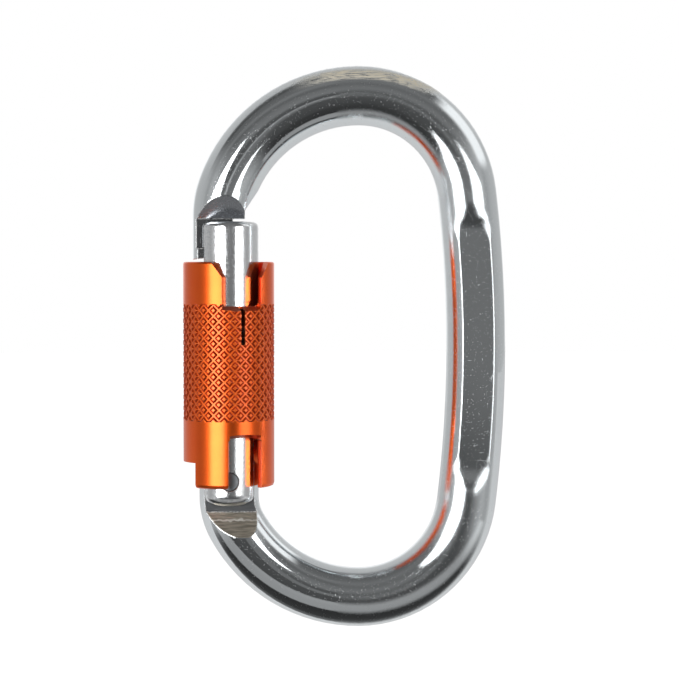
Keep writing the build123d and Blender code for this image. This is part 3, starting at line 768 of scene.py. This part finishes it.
# painted highlight: the knurl's groove floors and top lands are lightened
highlight_lines = product(tree, level_parts, 0.16)
dye_and_painted_light = blend_colour(tree, highlight_lines, dye_and_painted_light, (0.98, 0.30, 0.085, 1))
dye_and_painted_light = blend_colour(tree, product(tree, rubbed, 0.45), dye_and_painted_light, (0.98, 0.46, 0.18, 1))
tree.links.new(dye_and_painted_light, shader.inputs["Base Color"])
roughness = calc(tree, "MULTIPLY_ADD", fine, 0.10, 0.24)
duller = highest(tree, shaded_cut_floor, slit_shade, product(tree, band, 0.6))
roughness = calc(tree, "MULTIPLY_ADD", duller, 0.25, roughness)
tree.links.new(roughness, shader.inputs["Roughness"])
relief = calc(tree, "MULTIPLY_ADD", turning, 0.4, fine)
tree.links.new(bumped(tree, relief, 0.003, rounded), shader.inputs["Normal"])
shader.inputs["Coat Weight"].default_value = 0.35
shader.inputs["Coat Roughness"].default_value = 0.22
shader.inputs["Coat IOR"].default_value = 1.6
sleeve.data.materials.append(anodised)
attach(sleeve, "sleeve_body")
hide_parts("locking_sleeve")


# ---- Sleeve spring.
# A torsion spring of steel wire between the gate and the sleeve: its coil is let into the
# gate, and its leg stands in the sleeve's slit and turns with the sleeve.
spring_low, spring_high = (Vector(corner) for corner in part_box("sleeve_spring"))
WIRE_R = 0.0004
WIRE_SIDES = 12
STEPS_A_TURN = 28
SPRING_TURNS = 9.0
FOOT_SIDE = math.radians(90)  # the coil's foot goes into the gate on the spine's side
FOOT_DEPTH = 0.0008
LEG_R = WIRE_R - 0.00002
LEG_TIP = 0.0070  # from the gate's axis
LEG_STEPS = 4
coil_r = (spring_high.x - gate_x) - WIRE_R
coil_low = spring_low.z + WIRE_R
coil_high = spring_high.z - WIRE_R


def wire(name, points, radius):
    """A closed round wire along points, as a mesh."""
    mesh = bmesh.new()
    rings = []
    side_way = None
    for place, point in enumerate(points):
        before, after = points[max(place - 1, 0)], points[min(place + 1, len(points) - 1)]
        along = (after - before).normalized()
        if side_way is None:
            side_way = along.orthogonal().normalized()
        side_way = (side_way - along * side_way.dot(along)).normalized()
        up_way = along.cross(side_way)
        ring = []
        for side in range(WIRE_SIDES):
            turn = math.tau * side / WIRE_SIDES
            out = side_way * (radius * math.cos(turn)) + up_way * (radius * math.sin(turn))
            ring.append(mesh.verts.new(point + out))
        rings.append(ring)
    for low, high in zip(rings, rings[1:]):
        for side in range(WIRE_SIDES):
            after = (side + 1) % WIRE_SIDES
            mesh.faces.new((low[side], low[after], high[after], high[side]))
    mesh.faces.new(rings[0])
    mesh.faces.new(rings[-1])
    piece = finished_object(name, mesh)
    for face in piece.data.polygons:
        face.use_smooth = len(face.vertices) == 4
    return piece


def round_gate(turn, reach, height):
    """A point at an angle from the front, towards the spine."""
    return Vector((gate_x + reach * math.sin(turn), -reach * math.cos(turn), height))


def coil_round_gate(start, whole_turn, reach, low, high):
    """Points of a coil round the gate's axis."""
    steps = round(whole_turn / math.tau * STEPS_A_TURN)
    points = []
    for part in range(steps + 1):
        share = part / steps
        points.append(round_gate(start + whole_turn * share, reach, low + (high - low) * share))
    return points


coil_turn = math.tau * SPRING_TURNS + NOTCH_TURN - FOOT_SIDE
coil_points = [
    round_gate(FOOT_SIDE, gate_r - FOOT_DEPTH, coil_low),
    round_gate(FOOT_SIDE, gate_r, coil_low),
]
coil_points += coil_round_gate(FOOT_SIDE, coil_turn, coil_r, coil_low, coil_high)
coil = wire("sleeve_spring_coil", coil_points, WIRE_R)
leg_points = []
for part in range(LEG_STEPS + 1):
    reach = coil_r + (LEG_TIP - coil_r) * part / LEG_STEPS
    leg_points.append(round_gate(NOTCH_TURN, reach, coil_high))
leg = wire("sleeve_spring_leg", leg_points, LEG_R)

spring_steel, tree, shader = new_metal("spring_steel")
place = mm(tree, add(tree, "ShaderNodeTexCoord").outputs["Object"])
drawn = grain(tree, place, 5.0, (1, 1, 3), detail=3.0)
oil = grain(tree, place, 0.7)
colour = blend_colour(tree, drawn, (0.30, 0.29, 0.28, 1), (0.48, 0.47, 0.46, 1))
colour = blend_colour(tree, step(tree, oil, 0.5, 0.7), colour, (0.20, 0.17, 0.14, 1))
tree.links.new(colour, shader.inputs["Base Color"])
tree.links.new(calc(tree, "MULTIPLY_ADD", drawn, 0.2, 0.2), shader.inputs["Roughness"])
tree.links.new(bumped(tree, drawn, 0.006), shader.inputs["Normal"])
for piece, body in ((coil, "gate_body"), (leg, "sleeve_body")):
    piece.data.materials.append(spring_steel)
    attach(piece, body)
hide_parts("sleeve_spring")


# ---- Gate spring.
# A small steel compression spring in the gate's bore, between the bore's end and the plunger.
GATE_WIRE_R = 0.00035
GATE_SPRING_TURNS = 7.0
gate_coil_low, gate_coil_high = (Vector(corner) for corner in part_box("gate_spring"))
gate_coil_r = (gate_coil_high.y - gate_coil_low.y) / 2 - GATE_WIRE_R
gate_coil_ends = gate_coil_low.z + GATE_WIRE_R, gate_coil_high.z - GATE_WIRE_R
gate_coil = wire(
    "gate_spring_coil",
    coil_round_gate(0.0, math.tau * GATE_SPRING_TURNS, gate_coil_r, *gate_coil_ends),
    GATE_WIRE_R,
)
gate_coil.data.materials.append(spring_steel)
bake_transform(gate_coil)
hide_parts("gate_spring")


# ---- Bush ring, spring washer, guide pin and gate plunger.
# Small turned and stamped steel parts inside the sleeve and the gate, lightly oiled. The ring
# snaps into the sleeve, the pin is pressed in the gate and the plunger slides in its bore.
give(spring_steel, "bush_ring", "spring_washer", "guide_pin", "gate_plunger")


# ---- Sleeve bush.
# A turned acetal bush that the sleeve runs on, off-white, with fine tool marks. It is pushed
# up the sleeve from below and kept in by the ring.
acetal = bpy.data.materials.new("acetal")
acetal.use_nodes = True
tree = acetal.node_tree
shader = tree.nodes["Principled BSDF"]
place = mm(tree, add(tree, "ShaderNodeTexCoord").outputs["Object"])
tool_marks = grain(tree, place, 1.0, (0.1, 0.1, 8.0))
tint = grain(tree, place, 0.5)
colour = blend_colour(tree, tint, (0.70, 0.68, 0.62, 1), (0.80, 0.78, 0.73, 1))
tree.links.new(colour, shader.inputs["Base Color"])
tree.links.new(calc(tree, "MULTIPLY_ADD", tool_marks, 0.2, 0.30), shader.inputs["Roughness"])
tree.links.new(bumped(tree, tool_marks, 0.01), shader.inputs["Normal"])
shader.inputs["Subsurface Weight"].default_value = 0.1
shader.inputs["Subsurface Scale"].default_value = 0.001
give(acetal, "sleeve_bush")


# ---- Floor.
# A pale paper floor, a little under the carabiner and running back from it; the carabiner
# hangs over its front edge from the top bow.
FLOOR_DROP = 0.022
FLOOR_FRONT = 0.012
FLOOR_W, FLOOR_L = 2.4, 2.0
PAPER_LEVEL = 0.90
MIRRORED_SHARE = 0.45  # how much of its level polished metal mirrors
mesh = bmesh.new()
corners = [(-FLOOR_W / 2, 0), (FLOOR_W / 2, 0), (FLOOR_W / 2, FLOOR_L), (-FLOOR_W / 2, FLOOR_L)]
mesh.faces.new([mesh.verts.new((x, FLOOR_FRONT + y, frame_low.z - FLOOR_DROP)) for x, y in corners])
floor = finished_object("floor", mesh)
floor_paper = bpy.data.materials.new("floor_paper")
floor_paper.use_nodes = True
tree = floor_paper.node_tree
shader = tree.nodes["Principled BSDF"]
seen = add(tree, "ShaderNodeLightPath").outputs
shown = calc(tree, "MULTIPLY_ADD", seen["Is Glossy Ray"], MIRRORED_SHARE, seen["Is Camera Ray"])
shown = calc(tree, "ADD", shown, seen["Is Transmission Ray"], clamp=True)
shader.inputs["Base Color"].default_value = (0.50, 0.50, 0.50, 1)
shader.inputs["Roughness"].default_value = 0.8
shader.inputs["Specular IOR Level"].default_value = 0.0
shader.inputs["Emission Color"].default_value = (1, 1, 1, 1)
tree.links.new(calc(tree, "MULTIPLY", shown, PAPER_LEVEL), shader.inputs["Emission Strength"])
floor.data.materials.append(floor_paper)
floor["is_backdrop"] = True

corners = {"cad": [list(corner) for corner in cad_box], "visual": [list(corner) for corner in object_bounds()]}
